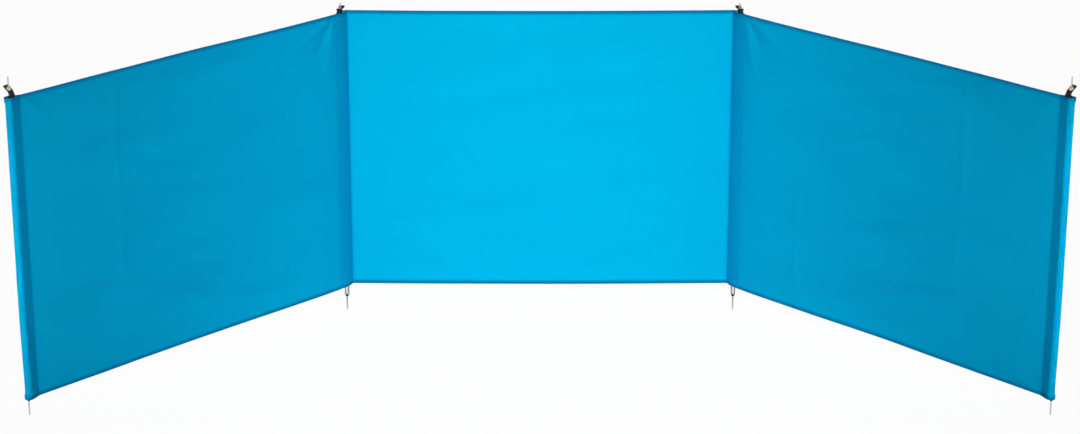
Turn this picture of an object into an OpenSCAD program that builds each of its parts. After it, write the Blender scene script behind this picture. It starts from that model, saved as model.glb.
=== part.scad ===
// Beach windbreak: three bays of cloth carried by four steel poles, set out as a U
// that opens towards -Y. The origin is the flat end of the left inner pole's ground
// spike, +X runs along the middle bay and +Z is up. Sizes are in millimetres.

/* [Bays] */
// Distance between neighbouring poles
bay_w = 1655; // [1200:5:2000]
// Turn from the middle bay to each wing, in degrees
wing_turn = 46.5; // [20:0.5:65]
// Height of the cloth, from hem edge to hem edge
cloth_h = 1200; // [900:5:1500]
// How much lower the cloth sits on the outer poles than on the inner ones
wing_drop = 42; // [0:1:50]

/* [Cloth] */
// Thickness of one layer of cloth
cloth_t = 1.2; // [0.8:0.1:1.6]
// Height of the turned hem along the top and bottom edges
hem_h = 17; // [10:1:30]
// Layers of cloth in the hem
hem_layers = 3; // [2:1:4]
// Outer radius of the sewn loop around a pole
sleeve_r = 15.5; // [13:0.5:20]
// How far the loop bulges past the cloth's straight run to the seam
loop_bulge = 0.8; // [0.4:0.1:2]
// Distance from a pole's axis to the seam that closes its sleeve, on the wing
seam_d = 44.5; // [42:0.5:60]
// Distance from an inner pole's axis to the corner seam
corner_d = 31; // [28:0.5:50]
// Room between a pole and the side of the sleeve that bears on it
sleeve_gap = 0.3; // [0.2:0.1:0.6]

/* [Pole] */
// Outside diameter of the steel tube
tube_d = 19; // [16:0.5:22]
// Wall of the steel tube
tube_wall = 0.8; // [0.6:0.1:1.5]
// Bare tube that shows below the cloth on the inner poles
foot_bare = 40; // [20:1:80]
// How far the tube ends below the cloth's top edge on the inner poles
mouth_depth = 50; // [12:1:60]

/* [Caps] */
// Height of the conical part of a cap
cone_h = 12; // [8:1:20]
// Diameter of the small end of the cone
cone_tip_d = 10; // [8:0.5:12]
// Length of the cap's stem inside the tube
stem_len = 25; // [15:1:40]
// Radial room between the stem and the tube
stem_gap = 0.1; // [0.05:0.05:0.2]

/* [Spike and pin] */
// Diameter of the ground spike
spike_d = 6; // [5:0.5:8]
// Length of spike below the foot cap
spike_len = 59; // [40:1:120]
// Diameter of the spike's flat end
spike_end_d = 4; // [2:0.5:4.5]
// Diameter of the top pin
pin_d = 5; // [4:0.5:6]
// Length of pin above the top cap
pin_len = 74; // [60:1:90]
// Height of the rounding at the pin's tip
pin_round = 1.5; // [0.5:0.5:2]
// How much thinner the shank held in the cap is
shank_step = 1; // [0.5:0.5:2]
// Length of the shank held in the cap
shank_len = 20; // [10:1:24]
// Radial room around the shank
shank_gap = 0.05; // [0.03:0.01:0.1]

/* [Strap] */
// Width of the webbing strap
strap_w = 25; // [20:1:26]
// Thickness of the webbing
strap_t = 1.6; // [1:0.1:2]
// Length of strap sewn inside the sleeve
strap_sewn = 40; // [20:1:80]
// Free end of the strap past the eyelet, on the outer poles
outer_tail = 19; // [15:1:40]
// Free end of the strap past the eyelet, on the inner poles
inner_tail = 24; // [18:1:40]
// Lean of the strap over the pole top, towards the sheltered side, on the outer poles, in degrees
outer_lean = 42; // [15:1:50]
// Lean of the strap over the pole top on the inner poles, in degrees
inner_lean = 22; // [5:1:50]
// Climb of the strap across the pole top on the outer poles, in degrees
outer_climb = 80; // [40:1:90]
// Climb of the strap across the pole top on the inner poles, in degrees
inner_climb = 12; // [0:1:30]
// Height of the outer poles' eyelets above the top caps
outer_rise = 27; // [20:1:40]
// Height of the inner poles' eyelets above the top caps
inner_rise = 49; // [42:1:60]
// Upward flick of the inner straps' free ends
tail_flick = 9; // [0:1:15]

/* [Eyelet] */
// Thickness of the eyelet's flanges
flange_t = 0.7; // [0.5:0.1:1]
// Width of the eyelet's flanges
flange_w = 3.4; // [2.5:0.1:5]
// Wall of the eyelet's barrel
barrel_t = 0.8; // [0.5:0.1:1.2]
// Room between the eyelet and the webbing, and between the eyelet and the pin
eyelet_gap = 0.15; // [0.1:0.05:0.3]

/* [Hidden] */
POLES = ["left_outer", "left_inner", "right_inner", "right_outer"];
PIECES = ["tube", "foot_cap", "ground_spike", "top_cap", "top_pin", "strap", "eyelet", "sleeve"];
PANELS = ["left_wing_cloth", "middle_cloth", "right_wing_cloth"];

CLOTH_BLUE = "#0FA9D8";
STEEL = "#C9CCD0";
BLACK = "#1C1C1E";
BRASS = "#B99A5B";
$fn = 64;

// Heights, from the spike's end up
tube_z = spike_len + cone_h;
inner_cloth_z = tube_z + foot_bare;
outer_cloth_z = inner_cloth_z - wing_drop;
tube_len = cloth_h + foot_bare - mouth_depth;
top_cap_z = tube_z + tube_len;
pin_z = top_cap_z + cone_h;

// The sleeve's loop: the pole bears on its outer side, so the seam lies to the sheltered side
loop_in_r = sleeve_r - cloth_t;
sleeve_y = -(loop_in_r - tube_d / 2 - sleeve_gap);
hem_t = cloth_t * hem_layers;
hem_sleeve_r = sleeve_r + (hem_t - cloth_t) / 2;
loop_turn = tangent_turn(sleeve_r - loop_bulge, seam_d, cloth_t / 2);
side_in_r = loop_in_r - loop_bulge;

// The seams of a sleeve, as the side of the pole and the distance from its axis
function seams(outer) = outer ? [[1, seam_d]] : [[-1, seam_d], [1, corner_d]];

// The corner seam, where the middle bay joins the left wing's inner sleeve
corner_x = corner_d * cos(wing_turn) - sleeve_y * sin(wing_turn);
corner_y = corner_d * sin(wing_turn) + sleeve_y * cos(wing_turn);

// The eyelet: its bore clears the pin although the strap leans
eyelet_half = strap_t / 2 + eyelet_gap + flange_t;
most_lean = max(outer_lean, inner_lean);
eyelet_r = (pin_d / 2 + eyelet_gap + eyelet_half * sin(most_lean)) / cos(most_lean);
flange_r = eyelet_r + barrel_t + flange_w;
strap_hole_r = eyelet_r + barrel_t + eyelet_gap;

// The inner straps' sewn ends lie in the V of the sleeve's seam
strap_edge_x = (side_in_r - strap_t / 2 * sin(loop_turn) - eyelet_gap) / cos(loop_turn);
inner_base = [strap_edge_x - strap_w / 2, sleeve_y];

// The outer straps' sewn ends lie in front of the pole, flat on the sleeve's sheltered side
side_dir = [sin(loop_turn), cos(loop_turn)];
side_out = [cos(loop_turn), -sin(loop_turn)];
outer_base = [0, sleeve_y] + (side_in_r - eyelet_gap - strap_t / 2) * side_out + strap_w / 3 * side_dir;
strap_flat = flange_r + 1;
strap_mouth = 1;
bend_steps = 10;
tail_steps = 5;

// Angle of the radius at which a line from the point (d, h) touches a circle of radius r
function tangent_turn(r, d, h) = atan2(h, d) + acos(r / norm([d, h]));

function unit(v) = v / norm(v);

// Point at share t of the curve that leaves a towards b and arrives at c
function bend(a, b, c, t) = (1 - t) * (1 - t) * a + 2 * t * (1 - t) * b + t * t * c;

// Places of the poles: the wings' own frames have X along the cloth towards the middle bay
module at_left_inner() {
    rotate([0, 0, wing_turn])
        children();
}

module at_left_outer() {
    rotate([0, 0, wing_turn])
        translate([-bay_w, 0, 0])
            children();
}

module mirrored() {
    translate([bay_w, 0, 0])
        mirror([1, 0, 0])
            children();
}

module at_pole(pole) {
    if (pole == "left_outer") at_left_outer() children();
    if (pole == "left_inner") at_left_inner() children();
    if (pole == "right_inner") mirrored() at_left_inner() children();
    if (pole == "right_outer") mirrored() at_left_outer() children();
}

function is_outer(pole) = pole == "left_outer" || pole == "right_outer";

// Steel tube of a pole
module tube() {
    color(STEEL)
        translate([0, 0, tube_z])
            difference() {
                cylinder(d = tube_d, h = tube_len);
                translate([0, 0, -1])
                    cylinder(d = tube_d - 2 * tube_wall, h = tube_len + 2);
            }
}

// Conical cap with a stem, its cone pointing up and its shoulder at height 0, bored for a shank
module cap(shank_d) {
    difference() {
        union() {
            cylinder(d1 = tube_d, d2 = cone_tip_d, h = cone_h);
            translate([0, 0, -stem_len])
                cylinder(d = tube_d - 2 * tube_wall - 2 * stem_gap, h = stem_len);
        }
        translate([0, 0, cone_h - shank_len - shank_gap])
            cylinder(d = shank_d + 2 * shank_gap, h = shank_len + shank_gap + 1);
    }
}

module foot_cap() {
    color(BLACK)
        translate([0, 0, tube_z])
            mirror([0, 0, 1])
                cap(spike_d - shank_step);
}

module top_cap() {
    color(BLACK)
        translate([0, 0, top_cap_z])
            cap(pin_d - shank_step);
}

// Blunt steel spike with a thinner shank in the foot cap
module ground_spike() {
    bevel = (spike_d - spike_end_d) / 2;
    color(STEEL)
        rotate_extrude()
            polygon([
                [0, 0],
                [spike_end_d / 2, 0],
                [spike_d / 2, bevel],
                [spike_d / 2, spike_len],
                [(spike_d - shank_step) / 2, spike_len],
                [(spike_d - shank_step) / 2, spike_len + shank_len],
                [0, spike_len + shank_len]
            ]);
}

// Steel pin with a bevelled tip and a thinner shank in the top cap
module top_pin() {
    color(STEEL)
        translate([0, 0, pin_z])
            rotate_extrude()
                polygon([
                    [0, -shank_len],
                    [(pin_d - shank_step) / 2, -shank_len],
                    [(pin_d - shank_step) / 2, 0],
                    [pin_d / 2, 0],
                    [pin_d / 2, pin_len - pin_round],
                    [pin_d / 2 - pin_round, pin_len],
                    [0, pin_len]
                ]);
}

// Height and lie of the strap at a pole
function eyelet_z(outer) = pin_z + (outer ? outer_rise : inner_rise);
function cloth_z(outer) = outer ? outer_cloth_z : inner_cloth_z;
function climb(outer) = outer ? outer_climb : inner_climb;
function lean(outer) = outer ? outer_lean : inner_lean;

// Direction in which the strap crosses the pole top, and the direction of its width there
function strap_run(outer) =
    [-cos(climb(outer)), sin(climb(outer)) * cos(lean(outer)), sin(climb(outer)) * sin(lean(outer))];
function strap_across(outer) =
    [sin(climb(outer)), cos(climb(outer)) * cos(lean(outer)), cos(climb(outer)) * sin(lean(outer))];

// Place of the strap's sewn end in plan, and the direction of its width there
function strap_base(outer) = outer ? outer_base : inner_base;
function base_across(outer) = outer ? concat(side_dir, 0) : [1, 0, 0];

// Points along the middle of the strap, from its sewn end to its free end
function strap_path(outer) =
    let (
        mouth = concat(strap_base(outer), cloth_z(outer) + cloth_h + strap_mouth),
        run = strap_run(outer),
        eye = [0, 0, eyelet_z(outer)],
        before = eye - strap_flat * run,
        after = eye + strap_flat * run,
        crest = eye - 1.6 * strap_flat * run,
        flick = outer ? 0 : tail_flick,
        tail = eye + (outer ? outer_tail : inner_tail) * run + [0, 0, flick]
    )
    concat(
        [mouth - [0, 0, strap_sewn + strap_mouth]],
        [for (i = [0:bend_steps]) bend(mouth, crest, before, i / bend_steps)],
        [for (i = [0:tail_steps]) bend(after, (after + eye + strap_flat * 1.6 * run) / 2, tail, i / tail_steps)]
    );

// Share of the turn from the sewn end's lie to the lie over the pole top, at each point
function strap_share(i) = min(1, max(0, (i - 1) / bend_steps));

// Four corners of the strap's section at each point of its path
function strap_sections(outer) =
    let (path = strap_path(outer), last = len(path) - 1, top = strap_across(outer))
    [for (i = [0:last])
        let (
            along = unit(path[min(i + 1, last)] - path[max(i - 1, 0)]),
            share = strap_share(i),
            wish = (1 - share) * base_across(outer) + share * top,
            across = unit(wish - (wish * along) * along),
            face = cross(along, across)
        )
        for (corner = [[-1, -1], [1, -1], [1, 1], [-1, 1]])
            path[i] + across * corner[0] * strap_w / 2 + face * corner[1] * strap_t / 2];

// Triangles of a closed tube with four corners in each section
function strip_faces(count) = concat(
    [[0, 1, 2], [0, 2, 3]],
    [for (i = [0:count - 2], k = [0:3])
        let (a = 4 * i + k, b = 4 * i + (k + 1) % 4)
        each [[a, a + 4, b + 4], [a, b + 4, b]]],
    [let (e = 4 * (count - 1)) each [[e, e + 2, e + 1], [e, e + 3, e + 2]]]
);

// The strap's base lies towards the wing: inboard on the outer poles, outboard on the inner ones
module wing_side(outer) {
    if (outer)
        children();
    else
        mirror([1, 0, 0]) children();
}

// Webbing strap from the sleeve's mouth over the pole top, with a hole for the eyelet
module strap(outer) {
    sections = strap_sections(outer);
    color(BLACK)
        wing_side(outer)
            difference() {
                polyhedron(points = sections, faces = strip_faces(len(sections) / 4), convexity = 6);
                translate([0, 0, eyelet_z(outer)])
                    rotate([lean(outer), 0, 0])
                        cylinder(r = strap_hole_r, h = 4 * strap_t, center = true);
            }
}

// Two-flanged eyelet, hooked over the top pin
module eyelet(outer) {
    seat = strap_t / 2 + eyelet_gap;
    barrel_r = eyelet_r + barrel_t;
    color(BRASS)
        wing_side(outer)
            translate([0, 0, eyelet_z(outer)])
                rotate([lean(outer), 0, 0])
                    rotate_extrude()
                        polygon([
                            [eyelet_r, -eyelet_half],
                            [flange_r, -eyelet_half],
                            [flange_r, -seat],
                            [barrel_r, -seat],
                            [barrel_r, seat],
                            [flange_r, seat],
                            [flange_r, eyelet_half],
                            [eyelet_r, eyelet_half]
                        ]);
}

// Flat outline of a sleeve: a round loop that runs straight to each of its seams, which are 2h wide
module loop_outline(r, h, outer) {
    circle(r = r);
    for (seam = seams(outer)) {
        turn = tangent_turn(r - loop_bulge, seam[1], h);
        touch = (r - loop_bulge) * [cos(turn), sin(turn)];
        mirror([seam[0] < 0 ? 1 : 0, 0])
            polygon([[seam[1], -h], [seam[1], h], touch, [0, 0], [touch[0], -touch[1]]]);
    }
}

// Hollow of a sleeve, one layer of cloth inside its outline
module loop_hollow(outer) {
    circle(r = loop_in_r);
    for (seam = seams(outer)) {
        turn = tangent_turn(sleeve_r - loop_bulge, seam[1], cloth_t / 2);
        touch = side_in_r * [cos(turn), sin(turn)];
        mirror([seam[0] < 0 ? 1 : 0, 0])
            polygon([[side_in_r / cos(turn), 0], touch, [0, 0], [touch[0], -touch[1]]]);
    }
}

// Sewn sleeve with its hems
module sleeve(outer) {
    color(CLOTH_BLUE)
        translate([0, sleeve_y, cloth_z(outer)])
            difference() {
                union() {
                    linear_extrude(cloth_h)
                        loop_outline(sleeve_r, cloth_t / 2, outer);
                    for (z = [0, cloth_h - hem_h])
                        translate([0, 0, z])
                            linear_extrude(hem_h)
                                loop_outline(hem_sleeve_r, hem_t / 2, outer);
                }
                translate([0, 0, -1])
                    linear_extrude(cloth_h + 2)
                        loop_hollow(outer);
            }
}

// Band of the left wing's cloth from height low to height high, t thick, in the wing's own frame
module wing_band(low, high, t) {
    start = seam_d;
    end = bay_w - seam_d;
    translate([0, sleeve_y + t / 2, 0])
        rotate([90, 0, 0])
            linear_extrude(t)
                polygon([
                    [start, outer_cloth_z + low],
                    [end, inner_cloth_z + low],
                    [end, inner_cloth_z + high],
                    [start, outer_cloth_z + high]
                ]);
}

module wing_cloth() {
    color(CLOTH_BLUE)
        at_left_outer() {
            wing_band(0, cloth_h, cloth_t);
            wing_band(0, hem_h, hem_t);
            wing_band(cloth_h - hem_h, cloth_h, hem_t);
        }
}

// Upright section of the middle cloth: one layer with a thicker hem along each edge
module hemmed_section() {
    for (low = [0, cloth_h - hem_h])
        translate([-hem_t / 2, low])
            square([hem_t, hem_h]);
    translate([-cloth_t / 2, hem_h / 2])
        square([cloth_t, cloth_h - hem_h]);
}

// Middle cloth, its ends mitred to the faces of the corner seams
module middle_cloth() {
    color(CLOTH_BLUE)
        difference() {
            translate([corner_x - hem_t, corner_y, inner_cloth_z])
                rotate([90, 0, 90])
                    linear_extrude(bay_w - 2 * corner_x + 2 * hem_t)
                        hemmed_section();
            mitre_cut();
            mirrored() mitre_cut();
        }
}

// Everything short of the left corner seam's face
module mitre_cut() {
    translate([corner_x, corner_y, inner_cloth_z - 1])
        rotate([0, 0, wing_turn])
            translate([-8 * hem_t, -4 * hem_t, 0])
                cube([8 * hem_t, 8 * hem_t, cloth_h + 2]);
}

for (pole = POLES) {
    at_pole(pole) tube();
    at_pole(pole) foot_cap();
    at_pole(pole) ground_spike();
    at_pole(pole) top_cap();
    at_pole(pole) top_pin();
    at_pole(pole) strap(is_outer(pole));
    at_pole(pole) eyelet(is_outer(pole));
    at_pole(pole) sleeve(is_outer(pole));
}
wing_cloth();  // left_wing_cloth
middle_cloth();
mirrored() wing_cloth();  // right_wing_cloth
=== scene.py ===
"""Finish of the beach windbreak: woven cloth bays with turned hems, sewn pole sleeves, webbing straps
with rolled eyelets, and the metal and plastic of the poles. All lengths are in metres."""

import bpy
import numpy as np
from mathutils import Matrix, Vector


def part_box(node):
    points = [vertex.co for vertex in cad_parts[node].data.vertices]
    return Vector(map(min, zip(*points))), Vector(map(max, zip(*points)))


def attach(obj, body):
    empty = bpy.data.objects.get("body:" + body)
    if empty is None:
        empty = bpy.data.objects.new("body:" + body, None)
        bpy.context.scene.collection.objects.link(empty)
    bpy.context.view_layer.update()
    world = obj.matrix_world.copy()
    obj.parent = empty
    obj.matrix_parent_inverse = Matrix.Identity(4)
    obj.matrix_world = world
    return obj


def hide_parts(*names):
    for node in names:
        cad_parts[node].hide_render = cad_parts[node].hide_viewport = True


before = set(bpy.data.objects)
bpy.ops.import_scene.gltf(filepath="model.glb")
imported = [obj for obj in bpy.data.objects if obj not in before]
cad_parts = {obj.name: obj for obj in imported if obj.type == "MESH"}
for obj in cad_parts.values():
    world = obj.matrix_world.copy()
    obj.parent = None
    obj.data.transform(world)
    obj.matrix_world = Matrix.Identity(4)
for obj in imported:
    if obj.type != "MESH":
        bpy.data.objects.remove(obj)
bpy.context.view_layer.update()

# Cloth: thickness, spacing of stacked layers, turned hem and the grid that carries it
CLOTH_T = 0.0005
LAYER = 0.0007
HEM_H = 0.017
ROW_STEP = 0.0095
COLUMN_STEP = 0.0085

# Sleeves: the pole's distance to its seams on the wing and at the corner, the seams' lie across the pole,
# the sewn overlap, and the dip of the inner sleeves' front at the mouth
SEAM_D = 0.0445
CORNER_D = 0.031
SEAM_Y = -0.0045
FLAP_W = 0.008
MOUTH_DIP = 0.007

# Rise of a wing in front of its corner seam: its height, the run in which most of it is reached, and the
# stretch of the wing over which it dies away again
CORNER_RISE = 0.022
CORNER_RUN = 0.031
RISE_ENDS = (0.14, 0.95)

# Strength of the small waves on the wings and on the middle bay, and their stretch along the middle bay
WING_MOTTLE = 1.8
MIDDLE_MOTTLE = 0.9
MIDDLE_STRETCH = -0.5

# Stitches
STITCH_PITCH = 0.0046
STITCH_LENGTH = 0.0034
THREAD_R = 0.00032

# Straps and eyelets
STRAP_W = 0.025
STRAP_T = 0.0016
STRAP_SEWN = 0.040
STRAP_BASE = {"outer": (0.0100, -0.0112), "inner": (0.0145, -0.0150)}
BASE_ACROSS = {"outer": (0.948, 0.318, 0), "inner": (0.988, -0.153, 0)}
LEAN = {"outer": np.radians(42), "inner": np.radians(-7)}
CLIMB = {"outer": np.radians(80), "inner": np.radians(30)}
TAIL = {"outer": 0.019, "inner": 0.024}
TAIL_FLICK = {"outer": 0.0, "inner": 0.009}
EYELET_R = 0.00505
FLANGE_R = 0.00925
FLANGE_T = 0.0009

# Colours, as linear values
CLOTH_BLUE = (0.0, 0.58, 0.92, 1)
CLOTH_DEEP = (0.0, 0.52, 0.89, 1)
# Painted shade of the hems: a darker blue towards the cloth's edges, standing in for the doubled cloth
# letting less light through
CLOTH_HEM_SHADE = (0.0, 0.24, 0.52, 1)
CLOTH_GLOW = (0.0, 0.84, 0.95, 1)
CLOTH_THINNESS = 0.5

POLES = ("left_outer", "left_inner", "right_inner", "right_outer")
SIDES = {"left": 1, "right": -1}


def axis_of(pole):
    """Place of a pole's axis in plan: the middle of its tube's box."""
    low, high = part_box(f"{pole}_tube")
    return (np.array(low[:2]) + np.array(high[:2])) / 2


def ease(t):
    """Smooth step from 0 to 1."""
    t = np.clip(t, 0, 1)
    return t * t * (3 - 2 * t)


class Plan:
    """Plan frame of a bay: x runs along the cloth from an origin and y to the windward side."""

    def __init__(self, origin, along, side):
        self.origin = np.array(origin)
        self.along = np.array(along) / np.linalg.norm(along)
        self.back = side * np.array([-self.along[1], self.along[0]])
        self.side = side

    def place(self, x, y, z):
        """Points of the shared frame for local x, y and height z, as one array."""
        x, y, z = np.broadcast_arrays(x, y, z)
        flat = self.origin + x[..., None] * self.along + y[..., None] * self.back
        return np.concatenate([flat, z[..., None]], axis=-1)


def wing_plan(wing, pole_kind):
    """Plan frame of a wing, its origin on the outer or the inner pole and x towards the middle bay."""
    outer, inner = axis_of(f"{wing}_outer"), axis_of(f"{wing}_inner")
    return Plan(outer if pole_kind == "outer" else inner, inner - outer, SIDES[wing])


BAY_W = float(np.linalg.norm(axis_of("left_inner") - axis_of("left_outer")))
WING_TURN = float(np.arctan2(*(axis_of("left_inner") - axis_of("left_outer"))[::-1]))
CLOTH_LOW = {kind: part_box(f"left_{kind}_sleeve")[0][2] for kind in ("outer", "inner")}
CLOTH_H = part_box("left_inner_sleeve")[1][2] - CLOTH_LOW["inner"]
CORNER = np.array([
    CORNER_D * np.cos(WING_TURN) - SEAM_Y * np.sin(WING_TURN),
    CORNER_D * np.sin(WING_TURN) + SEAM_Y * np.cos(WING_TURN),
])


# Meshes

def grid_faces(rows, columns, closed=False):
    """Quads between neighbouring points of a grid that is counted row by row."""
    row = np.arange(rows - 1)[:, None] * columns
    column = np.arange(columns if closed else columns - 1)[None, :]
    after = (column + 1) % columns
    quads = [row + column, row + after, row + columns + after, row + columns + column]
    return np.stack(quads, axis=-1).reshape(-1, 4)


def add_piece(name, points, faces, material, uv=None):
    """A smooth mesh piece that rides with the windbreak, with a map in metres where its weave needs one."""
    mesh = bpy.data.meshes.new(name)
    mesh.from_pydata(points.reshape(-1, 3).tolist(), [], faces.tolist())
    if uv is not None:
        corner = np.empty(len(mesh.loops), int)
        mesh.loops.foreach_get("vertex_index", corner)
        layer = mesh.uv_layers.new(name="weave")
        layer.uv.foreach_set("vector", uv.reshape(-1, 2)[corner].astype(np.float32).ravel())
    mesh.polygons.foreach_set("use_smooth", np.ones(len(mesh.polygons), bool))
    mesh.materials.append(material)
    piece = bpy.data.objects.new(name, mesh)
    bpy.context.scene.collection.objects.link(piece)
    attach(piece, "root")
    return piece


def crisp_border(piece):
    """Marks the open edges of a sheet as sharp, so that its faces stay evenly lit up to its cut edge."""
    mesh = piece.data
    edge = np.empty(len(mesh.loops), int)
    mesh.loops.foreach_get("edge_index", edge)
    sharp = mesh.attributes.new("sharp_edge", "BOOLEAN", "EDGE")
    sharp.data.foreach_set("value", np.bincount(edge, minlength=len(mesh.edges)) == 1)


def thicken(piece, thickness):
    """Gives a sheet its thickness, half to each side."""
    solidify = piece.modifiers.new("thickness", "SOLIDIFY")
    solidify.thickness = thickness
    solidify.offset = 0


# Folds and wrinkles of the cloth

def swell(x, h, waves):
    """Broad waves of the cloth: the sum of plane sine waves (cycles a metre along, up, phase, depth)."""
    return sum(
        depth * np.sin(2 * np.pi * (along * x + up * h) + phase) for along, up, phase, depth in waves
    )


def pull_fold(x, h, start, end, width, depth):
    """A soft ridge from start to end: a bell across it that widens along it, rising fast and dying away."""
    run = np.subtract(end, start)
    length = np.hypot(*run)
    run = run / length
    t = ((x - start[0]) * run[0] + (h - start[1]) * run[1]) / length
    across = (x - start[0]) * run[1] - (h - start[1]) * run[0]
    inside = np.clip(t, 0, 1)
    rise = np.sin(np.pi * inside**0.6) ** 2
    return depth * rise * np.exp(-((across / (width * (0.35 + 0.65 * inside))) ** 2))


def pack_crease(x, h, at, width, depth):
    """The line left by folding the cloth for its bag: a tent along the height, wandering a little."""
    wander = 0.004 * np.sin(5.1 * h + 30 * at)
    return depth * np.exp(-np.abs(x - at - wander) / width) * (0.75 + 0.25 * np.sin(4.3 * h + 11 * at))


def pucker(x, h):
    """Small gathers that sewing leaves along the hems: short waves that die away from the stitch line."""
    edge = np.minimum(np.abs(h - HEM_H), np.abs(CLOTH_H - h - HEM_H))
    wave = np.sin(2 * np.pi * x / 0.031 + 1.7 * np.sin(x * 23)) * (0.6 + 0.4 * np.sin(x * 9.1))
    return 0.00035 * wave * np.exp(-edge / 0.016)


def held(x, h, width):
    """Share of a wrinkle's depth that is left near the seams and hems, which hold the cloth."""
    sides = ease((x - 0.012) / 0.09) * ease((width - 0.012 - x) / 0.09)
    return sides * (0.25 + 0.75 * ease(h / 0.11) * ease((CLOTH_H - h) / 0.11))


def slack(x, width):
    """Share of the waves' depth: none at the seams, all of it in the middle of the bay."""
    return ease(x / (0.32 * width)) * ease((width - x) / (0.32 * width))


def free(x, width):
    """0 where the cloth is sewn down at its seams, 1 further in."""
    return ease((x - FLAP_W) / 0.03) * ease((width - FLAP_W - x) / 0.03)


def corner_rise(d):
    """How far a wing stands in front of its corner seam at distance d from it: one minus an exponential,
    eased away along the wing."""
    first, last = RISE_ENDS
    return CORNER_RISE * (1 - np.exp(-d / CORNER_RUN)) * (1 - ease((d - first) / (last - first)))


def mottle(x, h, phase):
    """Small uneven waves of light cloth that hangs slack: plane waves that mostly run up the cloth."""
    return swell(x, h, [
        (0.7, 3.1, 0.7 + phase, 0.0030),
        (1.4, 4.7, 2.9 - phase, 0.0021),
        (-1.3, 2.3, 5.0 + 2 * phase, 0.0009),
        (2.1, 6.9, 1.3 + phase, 0.0013),
        (-0.6, 5.6, 4.1 - phase, 0.0006),
        (1.1, 8.3, 0.2 + 3 * phase, 0.0007),
        (3.4, 10.4, 3.3 + phase, 0.0005),
    ])


def wing_wrinkles(phase):
    """Shape of a wing's cloth: x from its outer seam to its inner one, h from its bottom edge."""

    def shape(x, h, width):
        waves = WING_MOTTLE * mottle(x, h, phase) + swell(x, h, [
            (0.25, 0.95, phase - 0.7, 0.0060),
            (0.8, -0.5, 1.9 + phase, 0.0025),
            (0.7, 1.9, 4.0 - phase, 0.0020),
        ])
        creases = (
            pack_crease(x, h, 0.434, 0.009, -0.0026)
            + pack_crease(x, h, 1.243, 0.009, -0.0024)
            + pack_crease(x, h, 0.838, 0.012, 0.0008)
        )
        top = CLOTH_H - 0.006
        pulls = (
            pull_fold(x, h, (width - 0.012, top), (width - 0.17, top - 0.21), 0.028, 0.0054)
            + pull_fold(x, h, (width - 0.020, top), (width - 0.36, top - 0.17), 0.028, -0.0042)
            + pull_fold(x, h, (width - 0.010, top), (width - 0.09, top - 0.34), 0.024, -0.0040)
            + pull_fold(x, h, (0.012, top), (0.24, top - 0.09), 0.024, 0.0030)
            + pull_fold(x, h, (0.012, top), (0.17, top - 0.19), 0.024, -0.0026)
            + pull_fold(x, h, (0.010, 0.01), (0.26, 0.10), 0.030, -0.0022)
            + pull_fold(x, h, (width - 0.010, 0.01), (width - 0.20, 0.13), 0.028, 0.0024)
        )
        rise = corner_rise(CORNER_D + SEAM_D + width - x)
        bent = (waves * slack(x, width) + creases) * held(x, h, width)
        return bent + (pulls + pucker(x, h)) * free(x, width) - rise

    return shape


def middle_wrinkles(x, h, width):
    """Shape of the middle bay's cloth: x from the left corner seam to the right one."""
    waves = MIDDLE_MOTTLE * mottle(MIDDLE_STRETCH * x, h, 2.2) + swell(x, h, [
        (0.7, 0.3, 0.4, 0.0060),
        (1.3, -0.8, 2.6, 0.0034),
        (0.4, 1.7, 5.1, 0.0034),
    ])
    creases = sum(
        pack_crease(x, h, width * share, 0.009, depth)
        for share, depth in ((0.25, 0.0011), (0.5, -0.0012), (0.75, 0.0011))
    )
    top = CLOTH_H - 0.006
    pulls = (
        pull_fold(x, h, (0.20, 0.13), (0.46, 0.035), 0.024, 0.0080)
        + pull_fold(x, h, (1.12, 0.11), (0.86, 0.030), 0.024, 0.0080)
        + pull_fold(x, h, (0.008, 0.01), (0.24, 0.10), 0.028, -0.0030)
        + pull_fold(x, h, (width - 0.008, 0.01), (width - 0.24, 0.09), 0.028, -0.0030)
        + pull_fold(x, h, (0.008, top), (0.20, top - 0.12), 0.030, 0.0026)
        + pull_fold(x, h, (width - 0.008, top), (width - 0.22, top - 0.10), 0.030, 0.0026)
    )
    bent = (waves * slack(x, width) + creases) * held(x, h, width)
    return bent + (pulls + pucker(x, h)) * free(x, width)


class Bay:
    """One bay of cloth between two seams, x along it from its first seam and h up from its bottom edge."""

    def __init__(self, plan, start, width, lows, sag, wrinkles):
        self.plan, self.start, self.width = plan, start, width
        self.lows, self.sag, self.wrinkles = lows, sag, wrinkles
        self.y = SEAM_Y

    def point(self, x, h, depth=0.0):
        """Point of the cloth: its plane, bent by the wrinkles, sagging as a parabola between its seams."""
        t = x / self.width
        z = self.lows[0] + (self.lows[1] - self.lows[0]) * t + h - self.sag * 4 * t * (1 - t)
        y = self.y + self.wrinkles(x, h, self.width) + depth
        return self.plan.place(self.start + x, y, z)


def hem_profile(height, step):
    """Upright section of a hemmed sheet as (depth, height) pairs: the raw edge turned in, the back of the
    bottom hem, its fold, the single cloth, and the same again mirrored at the top."""
    turn = np.linspace(np.pi, 0, 5)
    fold = np.linspace(0, -np.pi, 7)
    inner = np.array([[LAYER, 3 * LAYER], [LAYER, HEM_H / 2]])
    over = np.stack([
        1.5 * LAYER + LAYER / 2 * np.cos(turn), HEM_H - LAYER / 2 + LAYER / 2 * np.sin(turn),
    ], 1)
    back = np.array([[2 * LAYER, HEM_H / 2]])
    under = np.stack([LAYER + LAYER * np.cos(fold), LAYER + LAYER * np.sin(fold)], 1)
    bottom = np.concatenate([inner, over, back, under])
    near = np.linspace(LAYER, 1.8 * HEM_H, 9)[1:]
    far = np.linspace(1.8 * HEM_H, height - 1.8 * HEM_H, int(height / step))[1:-1]
    single = np.concatenate([near, far, height - near[::-1]])
    top = bottom[::-1] * [1, -1] + [0, height]
    return np.concatenate([bottom, np.stack([0 * single, single], 1), top])


# Materials

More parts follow.
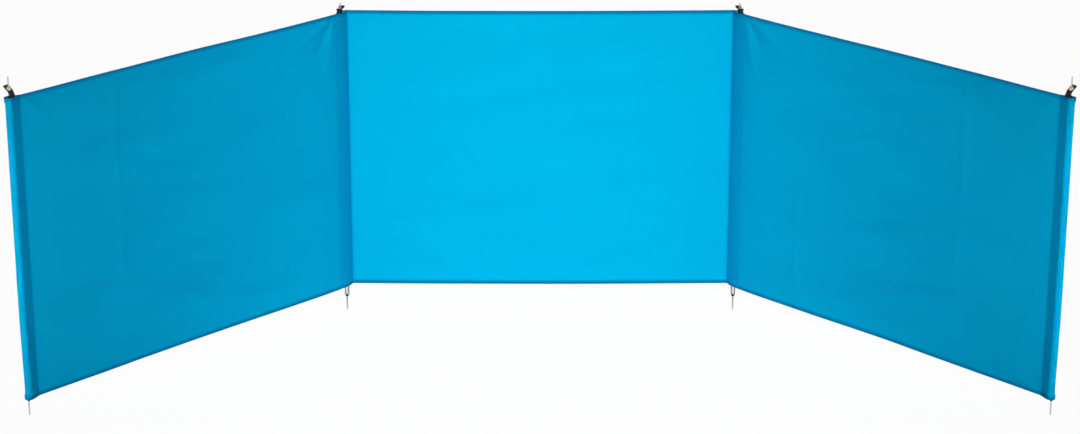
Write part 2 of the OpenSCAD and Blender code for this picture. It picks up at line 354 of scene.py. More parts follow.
def add_node(tree, kind, inputs=None, **settings):
    """A shader node with the given settings and input values."""
    made = tree.nodes.new(kind)
    for key, value in settings.items():
        setattr(made, key, value)
    for key, value in (inputs or {}).items():
        made.inputs[key].default_value = value
    return made


def new_material(name):
    """An empty node material with its tree, shader and output."""
    material = bpy.data.materials.new(name)
    material.use_nodes = True
    tree = material.node_tree
    return material, tree, tree.nodes["Principled BSDF"], tree.nodes["Material Output"]


def math(tree, operation, first, second=0.0):
    """Result of one sum on sockets or numbers."""
    made = add_node(tree, "ShaderNodeMath", operation=operation)
    for socket, value in zip(made.inputs, (first, second)):
        if isinstance(value, (int, float)):
            socket.default_value = value
        else:
            tree.links.new(value, socket)
    return made.outputs[0]


def noise(tree, place, scale, stretch=(1, 1, 1), detail=2.0):
    """Value of a noise of the given scale, stretched along the axes of place."""
    mapping = add_node(tree, "ShaderNodeMapping", {"Scale": stretch})
    tree.links.new(place, mapping.inputs["Vector"])
    made = add_node(tree, "ShaderNodeTexNoise", {"Scale": scale, "Detail": detail, "Roughness": 0.55})
    tree.links.new(mapping.outputs[0], made.inputs["Vector"])
    return made.outputs[0]


def between(tree, share, low, high):
    """A number that goes from low to high as share goes from 0.25 to 0.75."""
    limits = {"From Min": 0.25, "From Max": 0.75, "To Min": low, "To Max": high}
    made = add_node(tree, "ShaderNodeMapRange", limits)
    tree.links.new(share, made.inputs["Value"])
    return made.outputs[0]


def mixed_colour(tree, share, first, second):
    """Colour that goes from first, a colour or a socket, to second by share."""
    made = add_node(tree, "ShaderNodeMix", data_type="RGBA")
    made.inputs[7].default_value = second
    if isinstance(first, tuple):
        made.inputs[6].default_value = first
    else:
        tree.links.new(first, made.inputs[6])
    tree.links.new(share, made.inputs[0])
    return made.outputs[2]


def bump(tree, shader, height, distance, strength=1.0):
    """Fine relief of a surface."""
    made = add_node(tree, "ShaderNodeBump", {"Distance": distance, "Strength": strength})
    tree.links.new(height, made.inputs["Height"])
    tree.links.new(made.outputs[0], shader.inputs["Normal"])
    return made.outputs[0]


def painted_hem_shade(tree, height):
    """Share of the painted shade that darkens the hems, standing in for the doubled cloth letting less light
    through: 1 at the cloth's edges, 0 inside the hems.
    """
    from_middle = math(tree, "ABSOLUTE", math(tree, "SUBTRACT", height, CLOTH_H / 2))
    limits = {"From Min": CLOTH_H / 2 - HEM_H, "From Max": CLOTH_H / 2, "To Min": 0.0, "To Max": 1.0}
    made = add_node(tree, "ShaderNodeMapRange", limits)
    tree.links.new(from_middle, made.inputs["Value"])
    return made.outputs[0]


def woven_cloth():
    """Plain-woven polyester: threads across and up by the weave map, uneven yarns, cloudy dye, painted shade
    that darkens the hems towards the cloth's edges, and part of the light let through."""
    material, tree, shader, output = new_material("woven_cloth")
    place = add_node(tree, "ShaderNodeUVMap", uv_map="weave").outputs[0]
    split = add_node(tree, "ShaderNodeSeparateXYZ")
    tree.links.new(place, split.inputs[0])
    thread = 2 * np.pi / 0.0011
    across = math(tree, "SINE", math(tree, "MULTIPLY", split.outputs[0], thread))
    upward = math(tree, "SINE", math(tree, "MULTIPLY", split.outputs[1], thread))
    weave = math(tree, "MULTIPLY", across, upward)
    yarn_along = noise(tree, place, 30, (0.5, 22, 1), 3)
    yarn_up = noise(tree, place, 30, (22, 0.5, 1), 3)
    yarns = math(tree, "MULTIPLY", math(tree, "ADD", yarn_along, yarn_up), 0.5)
    clouds = noise(tree, place, 2.6, detail=4)
    share = math(tree, "ADD", math(tree, "MULTIPLY", between(tree, clouds, 0, 1), 0.6),
                 math(tree, "MULTIPLY", between(tree, yarns, 0, 1), 0.4))
    plain = mixed_colour(tree, share, CLOTH_DEEP, CLOTH_BLUE)
    # painted shade: the hems go a darker blue towards the cloth's edges
    colour = mixed_colour(tree, painted_hem_shade(tree, split.outputs[1]), plain, CLOTH_HEM_SHADE)
    tree.links.new(colour, shader.inputs["Base Color"])
    tree.links.new(between(tree, yarns, 0.72, 0.88), shader.inputs["Roughness"])
    shader.inputs["Specular IOR Level"].default_value = 0.08
    relief = math(tree, "ADD", math(tree, "MULTIPLY", weave, 0.25), yarns)
    normal = bump(tree, shader, relief, 0.00010, 0.6)
    glow = add_node(tree, "ShaderNodeBsdfTranslucent", {"Color": CLOTH_GLOW})
    tree.links.new(normal, glow.inputs["Normal"])
    mix = add_node(tree, "ShaderNodeMixShader", {"Fac": CLOTH_THINNESS})
    tree.links.new(shader.outputs[0], mix.inputs[1])
    tree.links.new(glow.outputs[0], mix.inputs[2])
    tree.links.new(mix.outputs[0], output.inputs["Surface"])
    return material


def sewing_thread():
    """Twisted blue thread with fine slanted strands."""
    material, tree, shader, _ = new_material("sewing_thread")
    place = add_node(tree, "ShaderNodeTexCoord").outputs["Object"]
    strands = noise(tree, place, 900, (1, 1, 2))
    colour = mixed_colour(tree, strands, (0.0, 0.38, 0.70, 1), (0.0, 0.46, 0.80, 1))
    tree.links.new(colour, shader.inputs["Base Color"])
    tree.links.new(between(tree, strands, 0.5, 0.7), shader.inputs["Roughness"])
    bump(tree, shader, strands, 0.0001, 0.5)
    shader.inputs["Specular IOR Level"].default_value = 0.2
    return material


def webbing():
    """Black ribbed webbing: weft ribs across the strap by its own map, with a paler fuzz on their crowns."""
    material, tree, shader, _ = new_material("black_webbing")
    place = add_node(tree, "ShaderNodeUVMap", uv_map="weave").outputs[0]
    split = add_node(tree, "ShaderNodeSeparateXYZ")
    tree.links.new(place, split.inputs[0])
    ribs = math(tree, "SINE", math(tree, "MULTIPLY", split.outputs[0], 2 * np.pi / 0.0017))
    columns = math(tree, "SINE", math(tree, "MULTIPLY", split.outputs[1], 2 * np.pi / 0.0021))
    weave = math(tree, "ADD", math(tree, "MULTIPLY", math(tree, "MULTIPLY", ribs, columns), 0.5), 0.5)
    fuzz = noise(tree, place, 700)
    share = math(tree, "MULTIPLY", between(tree, weave, 0.2, 1), fuzz)
    colour = mixed_colour(tree, share, (0.004, 0.004, 0.0045, 1), (0.022, 0.021, 0.021, 1))
    tree.links.new(colour, shader.inputs["Base Color"])
    tree.links.new(between(tree, fuzz, 0.6, 0.85), shader.inputs["Roughness"])
    shader.inputs["Specular IOR Level"].default_value = 0.3
    bump(tree, shader, weave, 0.0003, 0.6)
    return material


def plated_tube():
    """Bright zinc-plated tube: fine drawing lines up the pole, cloudy plating and a little dullness."""
    material, tree, shader, _ = new_material("plated_tube")
    place = add_node(tree, "ShaderNodeTexCoord").outputs["Object"]
    lines = noise(tree, place, 900, (1, 1, 0.01), 3)
    clouds = noise(tree, place, 26, detail=3)
    colour = mixed_colour(tree, clouds, (0.58, 0.61, 0.62, 1), (0.76, 0.79, 0.80, 1))
    tree.links.new(colour, shader.inputs["Base Color"])
    tree.links.new(between(tree, clouds, 0.16, 0.30), shader.inputs["Roughness"])
    shader.inputs["Metallic"].default_value = 1.0
    bump(tree, shader, lines, 0.00004, 0.4)
    return material


def drawn_rod():
    """Drawn steel of the spikes and pins: rings of small scratches and duller patches."""
    material, tree, shader, _ = new_material("drawn_rod")
    place = add_node(tree, "ShaderNodeTexCoord").outputs["Object"]
    rings = noise(tree, place, 300, (0.2, 0.2, 4), 3)
    clouds = noise(tree, place, 90, detail=3)
    colour = mixed_colour(tree, clouds, (0.44, 0.44, 0.45, 1), (0.62, 0.62, 0.63, 1))
    tree.links.new(colour, shader.inputs["Base Color"])
    tree.links.new(between(tree, rings, 0.25, 0.45), shader.inputs["Roughness"])
    shader.inputs["Metallic"].default_value = 1.0
    bump(tree, shader, rings, 0.00005, 0.4)
    return material


def moulded_plastic():
    """Black moulded plastic: fine spark-eroded grain, with scuffs that go a little grey."""
    material, tree, shader, _ = new_material("moulded_plastic")
    place = add_node(tree, "ShaderNodeTexCoord").outputs["Object"]
    grain = noise(tree, place, 1400, detail=3)
    scuffs = noise(tree, place, 120, (1, 1, 0.4), 4)
    share = between(tree, scuffs, 0, 0.8)
    colour = mixed_colour(tree, share, (0.008, 0.008, 0.009, 1), (0.026, 0.026, 0.027, 1))
    tree.links.new(colour, shader.inputs["Base Color"])
    tree.links.new(between(tree, scuffs, 0.48, 0.68), shader.inputs["Roughness"])
    shader.inputs["Specular IOR Level"].default_value = 0.18
    bump(tree, shader, grain, 0.00008, 0.5)
    return material


def rolled_brass():
    """Brass-coloured plated eyelet with rubbed patches and faint turning marks."""
    material, tree, shader, _ = new_material("rolled_brass")
    place = add_node(tree, "ShaderNodeTexCoord").outputs["Object"]
    rubbed = noise(tree, place, 260, detail=3)
    colour = mixed_colour(tree, rubbed, (0.50, 0.36, 0.17, 1), (0.74, 0.60, 0.36, 1))
    tree.links.new(colour, shader.inputs["Base Color"])
    tree.links.new(between(tree, rubbed, 0.22, 0.40), shader.inputs["Roughness"])
    shader.inputs["Metallic"].default_value = 1.0
    bump(tree, shader, rubbed, 0.00005, 0.4)
    return material


CLOTH = woven_cloth()
THREAD = sewing_thread()
WEBBING = webbing()
BRASS = rolled_brass()


# Stitching

def stitches(name, places, runs, faces_out):
    """Rows of sewn stitches: each a short four-sided rod, thick in the middle and tapered into the cloth at
    both ends, at places, along runs, lying on the side that faces_out points to."""
    runs = runs / np.linalg.norm(runs, axis=1, keepdims=True)
    across = np.cross(faces_out, runs)
    along = np.array([-0.5, -0.2, 0.2, 0.5]) * STITCH_LENGTH
    swelling = np.array([0.35, 1.0, 1.0, 0.35]) * THREAD_R
    dip = np.array([-0.7, 0.25, 0.25, -0.7]) * THREAD_R
    turn = np.pi / 4 + np.arange(4) * np.pi / 2
    offset_across = (swelling[:, None] * np.cos(turn))[None, :, :, None]
    offset_out = (swelling[:, None] * np.sin(turn) + dip[:, None])[None, :, :, None]
    points = (
        places[:, None, None]
        + runs[:, None, None] * along[None, :, None, None]
        + across[:, None, None] * offset_across
        + faces_out[:, None, None] * offset_out
    )
    sides = grid_faces(4, 4, closed=True)
    ends = np.array([[3, 2, 1, 0], [12, 13, 14, 15]])
    one = np.concatenate([sides, ends])
    all_faces = (one[None] + 16 * np.arange(len(places))[:, None, None]).reshape(-1, 4)
    return add_piece(name, points, all_faces, THREAD)


def row_along(surface, count):
    """Stitch places and directions on surface(t), evenly spaced, from the curve's own differences."""
    t = (np.arange(count) + 0.5) / count
    step = 0.2 / count
    return surface(t), surface(t + step) - surface(t - step)


# Cloth bays

def cloth_bay(name, bay):
    """A hemmed bay: the upright hem section carried along the bay, each point moved with the wrinkles."""
    section = hem_profile(CLOTH_H, ROW_STEP)
    count = int(bay.width / COLUMN_STEP)
    x = np.linspace(0, bay.width, count)[None, :]
    points = bay.point(x, section[:, 1:], section[:, :1])
    uv = np.stack(np.broadcast_arrays(x, (section[:, 1:] - 2 * section[:, :1])), axis=-1)
    faces = grid_faces(len(section), count)
    piece = add_piece(f"{name}_cloth_sheet", points, faces[:, ::bay.plan.side], CLOTH, uv)
    crisp_border(piece)
    thicken(piece, CLOTH_T)
    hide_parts(f"{name}_cloth")
    return piece


def bay_stitching(name, bay):
    """Rows of stitches along both hems and down both seams, on the front of the cloth and on the back of
    the hems and of the sleeves' flaps."""
    lift = CLOTH_T / 2 + 0.3 * THREAD_R
    rows = []
    for h in (HEM_H - 0.0022, CLOTH_H - HEM_H + 0.0022):
        for depth, sign in ((-lift, -1), (2 * LAYER + lift, 1)):
            rows.append((lambda t, h=h, d=depth: bay.point(t * bay.width, h + 0 * t, d), bay.width, sign))
    for inset in (0.0018, FLAP_W - 0.0018):
        for x in (inset, bay.width - inset):
            for stand, sign in ((lambda h: -lift, -1), (lambda h: flap_stand(h) + lift, 1)):
                rows.append((
                    lambda t, x=x, s=stand: bay.point(x + 0 * t, t * CLOTH_H, s(t * CLOTH_H)), CLOTH_H, sign,
                ))
    places, runs, outs = [], [], []
    for surface, length, sign in rows:
        count = int(length / STITCH_PITCH)
        place, run = row_along(surface, count)
        places.append(place)
        runs.append(run)
        outs.append(np.tile(np.append(sign * bay.plan.back, 0), (count, 1)))
    return stitches(f"{name}_stitching", *(np.concatenate(a) for a in (places, runs, outs)))


# Sleeves

def hem_share(h):
    """1 on the hems, falling to 0 a short way into the single cloth."""
    return 1 - ease((h - HEM_H) / 0.008) * ease((CLOTH_H - HEM_H - h) / 0.008)


def flap_stand(h):
    """How far a sleeve's flap stands off the bay's back: one layer, and the hem's more over the hems."""
    return LAYER * (1 + 2.2 * hem_share(h))


def line(start, end, count):
    """Evenly spaced points from start to end, without the last."""
    t = np.arange(count)[:, None, None] / count
    return start[None] * (1 - t) + end[None] * t


def arc(centre, radius, first, last, count):
    """Evenly turned points on circles, from angle first to angle last, with both ends."""
    angle = first[None] + (last - first)[None] * np.linspace(0, 1, count)[:, None]
    return centre[None] + radius[None, :, None] * np.stack([np.cos(angle), np.sin(angle)], axis=-1)


def tangent_angle(tip, centre, radius, sign):
    """Angle of the radius at which a line from tip touches the circle, on the side that sign gives."""
    run = tip - centre
    reach = np.hypot(run[:, 0], run[:, 1])
    return np.arctan2(run[:, 1], run[:, 0]) + sign * np.arccos(radius / reach)


def spot(x, y, h):
    """Plan points, one for each height."""
    return np.stack(np.broadcast_arrays(x, y, h), axis=-1)[..., :2]


def outer_loop(h):
    """Plan outline of an outer sleeve at each height: on from the bay's front, a straight run, a loop round
    the pole, a straight run to the bay's back and a flap there. The loop hangs further out above the
    foot."""
    up = ease(h / 0.35)
    centre = spot(0.0009 - 0.0041 * up, SEAM_Y + 0.0015 * up, h)
    radius = 0.0149 + 0.0016 * hem_share(h) + 0.0002 * (np.sin(h * 17) + np.sin(h * 41 + 1))
    front, back = spot(SEAM_D, SEAM_Y, h), spot(SEAM_D, SEAM_Y + flap_stand(h), h)
    flap = back + np.array([FLAP_W, 0])
    first = tangent_angle(front, centre, radius, -1)
    last = tangent_angle(back, centre, radius, 1) - 2 * np.pi
    round_it = arc(centre, radius, first, last, 34)
    return np.concatenate([
        line(front, round_it[0], 12), round_it[:-1], line(round_it[-1], back, 12),
        line(back, flap, 4), flap[None],
    ])


def inner_front(h):
    """Plan outline of an inner sleeve's sheltered side: on from the wing's front, over the pole and back to
    the corner seam along the same rise, in even steps."""
    x = np.linspace(-SEAM_D, CORNER_D, 30)[:, None] + 0 * h
    return np.stack([x, SEAM_Y - corner_rise(CORNER_D - x)], axis=-1)


def inner_back(h):
    """Plan outline of an inner sleeve's windward side: flap on the wing's back, straight run, arc over the
    pole, straight run to the corner seam and flap on the middle bay's back."""
    centre = spot(0 * h, SEAM_Y, h)
    radius = 0.0150 + 0.0016 * hem_share(h) + 0.0002 * (np.sin(h * 15 + 2) + np.sin(h * 37))
    stand = flap_stand(h)
    wing_tip = spot(-SEAM_D, SEAM_Y - corner_rise(CORNER_D + SEAM_D) + stand, h)
    corner_tip = spot(CORNER_D + stand * np.tan(WING_TURN / 2), SEAM_Y + stand, h)
    wing_flap = wing_tip - np.array([FLAP_W, 0])
    corner_flap = corner_tip + FLAP_W * np.array([np.cos(WING_TURN), -np.sin(WING_TURN)])
    first = tangent_angle(wing_tip, centre, radius, -1)
    last = tangent_angle(corner_tip, centre, radius, 1)
    over = arc(centre, radius, first % (2 * np.pi), last, 14)
    return np.concatenate([
        line(wing_flap, wing_tip, 4), line(wing_tip, over[0], 12), over[:-1], line(over[-1], corner_tip, 12),
        line(corner_tip, corner_flap, 4), corner_flap[None],
    ])


def sleeve_strip(plan, low, outline, inward, dip=0.0):
    """Points, faces and weave map of a hemmed strip: the plan outline at each height of the hem section, the
    hem's layers set in along the outline's own normal, which points inward. The mouth dips in front of the
    pole."""
    section = hem_profile(CLOTH_H, 2 * ROW_STEP)
    h = section[:, 1]
    flat = outline(h)
    run = np.gradient(flat, axis=0)
    run = run / np.linalg.norm(run, axis=-1, keepdims=True)
    normal = inward * np.stack([-run[..., 1], run[..., 0]], axis=-1)
    flat = flat + normal * section[None, :, :1]
    dipped = dip * np.exp(-((flat[..., 0] / 0.018) ** 2)) * ease(h / (0.3 * CLOTH_H) - 0.7 / 0.3)
    points = plan.place(flat[..., 0], flat[..., 1], low + h[None, :] - dipped)
    steps = np.linalg.norm(np.diff(flat, axis=0), axis=-1)
    girth = np.concatenate([np.zeros((1, len(h))), np.cumsum(steps, axis=0)])
    uv = np.stack(np.broadcast_arrays(girth, h[None, :] - 2 * section[None, :, 0]), axis=-1)
    return points, grid_faces(*flat.shape[:2]), uv, float(girth[-1].mean())


def sleeve(pole):
    """A pole's sewn sleeve: one strip looped round an outer pole, or a strip each side of an inner pole."""
    wing, kind = pole.split("_")
    plan = wing_plan(wing, kind)
    low = CLOTH_LOW[kind]
    if kind == "outer":
        strips = [sleeve_strip(plan, low, outer_loop, 1)]
    else:
        strips = [
            sleeve_strip(plan, low, inner_front, 1, MOUTH_DIP), sleeve_strip(plan, low, inner_back, -1),
        ]
    starts = np.cumsum([0] + [strip[0].size // 3 for strip in strips])
    points = np.concatenate([strip[0].reshape(-1, 3) for strip in strips])
    faces = np.concatenate([strip[1] + start for strip, start in zip(strips, starts)])
    uv = np.concatenate([strip[2].reshape(-1, 2) for strip in strips])
    piece = add_piece(f"{pole}_sleeve_cloth", points, faces, CLOTH, uv)
    crisp_border(piece)
    thicken(piece, CLOTH_T)
    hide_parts(f"{pole}_sleeve")
    return piece, sum(strip[3] for strip in strips)


# Straps and eyelets

def unit(v):
    return v / np.linalg.norm(v, axis=-1, keepdims=True)


def eyelet_height(kind):
    """Height of an eyelet's centre: the middle of its node's box."""
    low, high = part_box(f"left_{kind}_eyelet")
    return (low[2] + high[2]) / 2


def strap_lie(kind):
    """Middle line of a strap and the direction of its width, as dense arrays with the length along it: up
    out of the sleeve, a quadratic bend to the flat round the eyelet, straight across it, and a curved free
    end."""
    climb, lean, flat = CLIMB[kind], LEAN[kind], FLANGE_R + 0.001
    run = np.array([-np.cos(climb), np.sin(climb) * np.cos(lean), np.sin(climb) * np.sin(lean)])
    top = np.array([np.sin(climb), np.cos(climb) * np.cos(lean), np.cos(climb) * np.sin(lean)])
    eye = np.array([0, 0, eyelet_height(kind)])
    mouth = np.array([*STRAP_BASE[kind], CLOTH_LOW[kind] + CLOTH_H + 0.001])
    before, after = eye - flat * run, eye + flat * run
    tail = eye + TAIL[kind] * run + np.array([0, 0, TAIL_FLICK[kind]])
    lead = (after + eye + 1.6 * flat * run) / 2

    def bend(a, b, c, t):
        return (1 - t) ** 2 * a + 2 * t * (1 - t) * b + t**2 * c

    t = np.linspace(0, 1, 40)[:, None]
    sewn = mouth - np.array([0, 0, STRAP_SEWN]) * (1 - t[:-1])
    bent = bend(mouth, eye - 1.6 * flat * run, before, t)
    across_eye = before + (after - before) * t[1:]
    free = bend(after, lead, tail, t[1:])
    middle = np.concatenate([sewn, bent, across_eye, free])
    share = np.concatenate([0 * t[:-1], t, 1 + 0 * t[1:], 1 + 0 * t[1:]])
    along = unit(np.gradient(middle, axis=0))
    wish = (1 - share) * np.array(BASE_ACROSS[kind]) + share * top
    across = unit(wish - (wish * along).sum(1, keepdims=True) * along)
    length = np.concatenate([[0], np.cumsum(np.linalg.norm(np.diff(middle, axis=0), axis=1))])
    eye_at = length[len(sewn) + len(bent) - 1] + flat
    return length, middle, along, across, eye_at, flat


def flat_strap(total, eye_at, half_plate, hole_r):
    """Flat mesh of a strap as (length, width) points: a plain grid up to the plate, a plate whose rings go
    from the hole's circle to its own rim, and a plain grid to the free end."""
    cells = 20
    w = np.linspace(-STRAP_W / 2, STRAP_W / 2, cells + 1)
    before = np.linspace(0, eye_at - half_plate, 60)
    after = np.linspace(eye_at + half_plate, total, 14)
    grids = [np.stack(np.broadcast_arrays(s[:, None], w[None]), -1) for s in (before, after)]
    rim_w = np.concatenate([w[:-1], np.full(cells, w[-1]), w[:0:-1], np.full(cells, w[0])])
    s = np.linspace(-half_plate, half_plate, cells + 1)
    rim_s = np.concatenate([np.full(cells, s[-1]), s[:0:-1], np.full(cells, s[0]), s[:-1]])
    rim = np.stack([rim_s, rim_w], -1)
    ring = hole_r * unit(rim)
    q = np.linspace(0, 1, 7)[:, None, None]
    plate = ring * (1 - q) + rim * q + np.array([eye_at, 0])
    parts = [(g.reshape(-1, 2), grid_faces(*g.shape[:2])) for g in grids]
    parts.append((plate.reshape(-1, 2), grid_faces(7, len(rim), closed=True)))
    starts = np.cumsum([0] + [len(p) for p, _ in parts])
    return np.concatenate([p for p, _ in parts]), np.concatenate([f + a for (_, f), a in zip(parts, starts)])


def strap(pole):
    """A webbing strap: its flat mesh laid along the strap's middle line, with soft ribs along its length and
    thinner edges."""
    wing, kind = pole.split("_")
    plan = wing_plan(wing, kind)
    length, middle, along, across, eye_at, half_plate = strap_lie(kind)
    points, faces = flat_strap(length[-1], eye_at, half_plate, EYELET_R + 0.0006)
    s, w = points[:, 0], points[:, 1]

    def at(values):
        return np.stack([np.interp(s, length, column) for column in values.T], -1)

    face = np.cross(along, across)
    wave = 0.00012 * np.sin(2 * np.pi * s / 0.019) * (np.abs(w) / STRAP_W)
    local = at(middle) + unit(at(across)) * w[:, None] + unit(at(face)) * wave[:, None]
    turn = 1 if kind == "outer" else -1
    world = plan.place(turn * local[:, 0], local[:, 1], local[:, 2])
    piece = add_piece(f"{pole}_strap_webbing", world, faces, WEBBING, np.stack([s, w], -1))
    weld = piece.modifiers.new("weld", "WELD")
    weld.merge_threshold = 0.00002
    thicken(piece, STRAP_T)
    soft = piece.modifiers.new("soft_edges", "BEVEL")
    soft.width = 0.0005
    soft.segments = 2
    soft.limit_method = "ANGLE"
    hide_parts(f"{pole}_strap")
    return piece, float(length[-1])


def eyelet(pole):
    """A rolled eyelet: a closed section of two domed flanges on a round-lipped barrel, turned about its
    axis, which leans with the strap."""
    wing, kind = pole.split("_")
    plan = wing_plan(wing, kind)
    seat = STRAP_T / 2 + 0.00015
    lip = np.linspace(0, np.pi, 7)
    dome = np.stack([
        EYELET_R + (FLANGE_R - EYELET_R) * (1 - np.cos(lip)) / 2,
        seat + FLANGE_T * (0.25 + 0.75 * np.sin(lip) ** 0.6),
    ], 1)
    rim = np.array([[FLANGE_R, seat + 0.0001], [EYELET_R + 0.0008, seat]])
    upper = np.concatenate([dome, rim])
    section = np.concatenate([upper, upper[::-1] * [1, -1]])
    turn = np.arange(48) * 2 * np.pi / 48
    r, a = section[:, :1], section[:, 1:]
    x, y = r * np.cos(turn), r * np.sin(turn)
    lean_y = y * np.cos(LEAN[kind]) - a * np.sin(LEAN[kind])
    lean_z = y * np.sin(LEAN[kind]) + a * np.cos(LEAN[kind])
    points = plan.place(x, lean_y, eyelet_height(kind) + lean_z)
    faces = grid_faces(len(section), 48, closed=True)
    seam = np.stack([np.arange(48), (np.arange(48) + 1) % 48], 1)
    last = (len(section) - 1) * 48
    closing = np.concatenate([last + seam, seam[:, ::-1]], 1)
    faces = np.concatenate([faces, closing])[:, ::-plan.side]
    piece = add_piece(f"{pole}_rolled_eyelet", points, faces, BRASS)
    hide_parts(f"{pole}_eyelet")
    return piece


# Assembly

WING_W = BAY_W - 2 * SEAM_D
MIDDLE_W = BAY_W - 2 * float(CORNER[0])
bays = {
    f"{wing}_wing": Bay(wing_plan(wing, "outer"), SEAM_D, WING_W, (CLOTH_LOW["outer"], CLOTH_LOW["inner"]),
                        0.001, wing_wrinkles(phase))
    for wing, phase in (("left", 0.3), ("right", 1.4))
}
bays["middle"] = Bay(Plan(axis_of("left_inner"), (1, 0), 1), float(CORNER[0]), MIDDLE_W,
                     (CLOTH_LOW["inner"], CLOTH_LOW["inner"]), 0.004, middle_wrinkles)
bays["middle"].y = float(CORNER[1])

for name, bay in bays.items():
    cloth = cloth_bay(name, bay)
    bay_stitching(name, bay)

for pole in POLES:
    cloth, girth = sleeve(pole)
    webbing_strap, strap_length = strap(pole)
    eyelet(pole)

finishes = {"tube": plated_tube(), "ground_spike": drawn_rod(), "foot_cap": moulded_plastic()}
finishes["top_pin"] = finishes["ground_spike"]
finishes["top_cap"] = finishes["foot_cap"]
for pole in POLES:
    for part, finish in finishes.items():
        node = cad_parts[f"{pole}_{part}"]
        node.data.materials.clear()
        node.data.materials.append(finish)


# Studio

def seen_directly(tree):
    """1 for a ray that shows the surroundings themselves: straight, mirrored or through glass, but not
    spread by thin cloth."""
    path = add_node(tree, "ShaderNodeLightPath")
    shown = math(tree, "MAXIMUM", path.outputs["Is Camera Ray"], path.outputs["Is Glossy Ray"])
    clear = math(tree, "SUBTRACT", path.outputs["Is Transmission Ray"], path.outputs["Is Diffuse Ray"])
    return math(tree, "MAXIMUM", shown, clear)


def white_surroundings(ambient):
    """A world that looks white and lights the object evenly at the given strength."""
    world = bpy.data.worlds.new("studio")
    world.use_nodes = True
    bpy.context.scene.world = world
    tree = world.node_tree
    tree.nodes.clear()
    soft = add_node(tree, "ShaderNodeBackground", {"Color": (0.78, 0.88, 1, 1), "Strength": ambient})
    white = add_node(tree, "ShaderNodeBackground", {"Color": (1, 1, 1, 1), "Strength": 1.0})
    mix = add_node(tree, "ShaderNodeMixShader")
    tree.links.new(seen_directly(tree), mix.inputs[0])
    tree.links.new(soft.outputs[0], mix.inputs[1])
    tree.links.new(white.outputs[0], mix.inputs[2])
    tree.links.new(mix.outputs[0], add_node(tree, "ShaderNodeOutputWorld").inputs["Surface"])


def pale_floor(half, whiteness):
    """A wide floor at the spikes' ends, nearly white where it is seen, that keeps a faint shadow."""
    corners = np.array([[-half, -half, 0], [half, -half, 0], [half, half, 0], [-half, half, 0]])
    mesh = bpy.data.meshes.new("floor")
    mesh.from_pydata(corners.tolist(), [], [[0, 1, 2, 3]])
    material = bpy.data.materials.new("floor_white")
    material.use_nodes = True
    tree = material.node_tree
    tree.nodes.clear()
    matt = add_node(tree, "ShaderNodeBsdfDiffuse", {"Color": (0.80, 0.80, 0.80, 1)})
    white = add_node(tree, "ShaderNodeEmission", {"Color": (1, 1, 1, 1), "Strength": 1.0})
    mix = add_node(tree, "ShaderNodeMixShader")
    tree.links.new(math(tree, "MULTIPLY", seen_directly(tree), whiteness), mix.inputs[0])
    tree.links.new(matt.outputs[0], mix.inputs[1])
    tree.links.new(white.outputs[0], mix.inputs[2])
    tree.links.new(mix.outputs[0], add_node(tree, "ShaderNodeOutputMaterial").inputs["Surface"])
    mesh.materials.append(material)
    floor = bpy.data.objects.new("floor", mesh)
    bpy.context.scene.collection.objects.link(floor)


def flag_black():
    """Plain black of the flags, without any shine."""
    material, tree, shader, output = new_material("flag_black")
    tree.nodes.remove(shader)
    dark = add_node(tree, "ShaderNodeEmission", {"Color": (0.02, 0.022, 0.025, 1), "Strength": 1.0})
    tree.links.new(dark.outputs[0], output.inputs["Surface"])
    return material


def foot_flag(name, foot, side, material):
    """A small upright black flag beside a pole's foot, under the cloth, that only bright metal mirrors as
    its dark edges."""
    x, front, back = foot[0] + side * FLAG_ASIDE, foot[1] - FLAG_FRONT, foot[1] + FLAG_BACK
    corners = np.array([[x, front, 0], [x, back, 0], [x, back, FLAG_H], [x, front, FLAG_H]])
    mesh = bpy.data.meshes.new(name)
    mesh.from_pydata(corners.tolist(), [], [[0, 1, 2, 3]])
    mesh.materials.append(material)
    flag = bpy.data.objects.new(name, mesh)
    for ray in ("camera", "diffuse", "transmission", "volume_scatter", "shadow"):
        setattr(flag, f"visible_{ray}", False)
    bpy.context.scene.collection.objects.link(flag)


def aim(thing, place, target):
    """Puts a lamp or the camera at place, looking at target."""
    thing.location = place
    thing.rotation_euler = (Vector(target) - Vector(place)).to_track_quat("-Z", "Y").to_euler()
    bpy.context.scene.collection.objects.link(thing)


def add_lamp(name, kind, power, place, target, **settings):
    """A lamp at place, pointed at target, that the camera doesn't see."""
    data = bpy.data.lights.new(name, kind)
    data.energy = power
    for key, value in settings.items():
        setattr(data, key, value)
    lamp = bpy.data.objects.new(name, data)
    lamp.visible_camera = False
    lamp.visible_glossy = False
    aim(lamp, place, target)


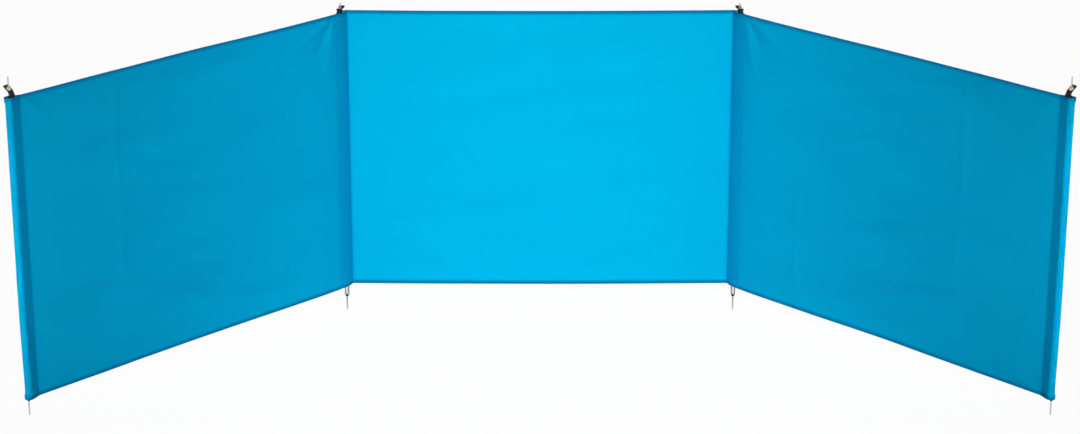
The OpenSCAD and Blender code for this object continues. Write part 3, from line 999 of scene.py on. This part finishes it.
# Camera: distance in front of the middle bay, height, tilt down, picture width and lens in pixels
MIDDLE_X = BAY_W / 2
CAMERA_DISTANCE = 10.4
CAMERA_HEIGHT = 3.766
CAMERA_PITCH = np.radians(17.86)
IMAGE_W = 1080
FOCAL_PIXELS = 2571

# Flags beside the inner poles' feet: distance aside, reach to the front and to the back, height
FLAG_ASIDE = 0.06
FLAG_FRONT = 0.02
FLAG_BACK = 0.20
FLAG_H = 0.10

# Lamps for the outer sleeves: distance from the pole, turn to the outside, power, height, and where they
# point to: aside of the pole and at a height
EDGE_DISTANCE = 2.2
EDGE_TURN = np.radians(24)
EDGE_POWER = 3.1
EDGE_Z = 0.75
EDGE_ASIDE = 0.24
EDGE_AIM_Z = 0.66

camera_data = bpy.data.cameras.new("camera")
camera_data.sensor_width = 36
camera_data.lens = 36 * FOCAL_PIXELS / IMAGE_W
camera_data.clip_end = 200
camera = bpy.data.objects.new("camera", camera_data)
aim(camera, (MIDDLE_X, -CAMERA_DISTANCE, CAMERA_HEIGHT),
    (MIDDLE_X, 0, CAMERA_HEIGHT - CAMERA_DISTANCE * np.tan(CAMERA_PITCH)))
bpy.context.scene.camera = camera

white_surroundings(0.07)
pale_floor(60, 0.97)
black = flag_black()
for pole in ("left_inner", "right_inner"):
    for side in (-1, 1):
        foot_flag(f"{pole}_flag_{side}", axis_of(pole), side, black)
add_lamp("front_key", "SPOT", 4700, (MIDDLE_X, -11, 5.6), (MIDDLE_X, 0, 0.78),
         spot_size=np.radians(30), spot_blend=1.0, shadow_soft_size=0.7)
add_lamp("back_glow", "AREA", 22, (MIDDLE_X, 2.6, 0.9), (MIDDLE_X, 0, 0.75),
         shape="RECTANGLE", size=1.7, size_y=1.2, spread=np.radians(110))
for pole, side in (("left_outer", -1), ("right_outer", 1)):
    foot = axis_of(pole)
    place = foot + EDGE_DISTANCE * np.array([side * np.sin(EDGE_TURN), -np.cos(EDGE_TURN)])
    add_lamp(f"{pole}_edge", "AREA", EDGE_POWER, (*place, EDGE_Z),
             (foot[0] + side * EDGE_ASIDE, foot[1], EDGE_AIM_Z),
             shape="RECTANGLE", size=0.25, size_y=1.3, spread=np.radians(24))

bpy.context.scene.view_settings.view_transform = "Standard"
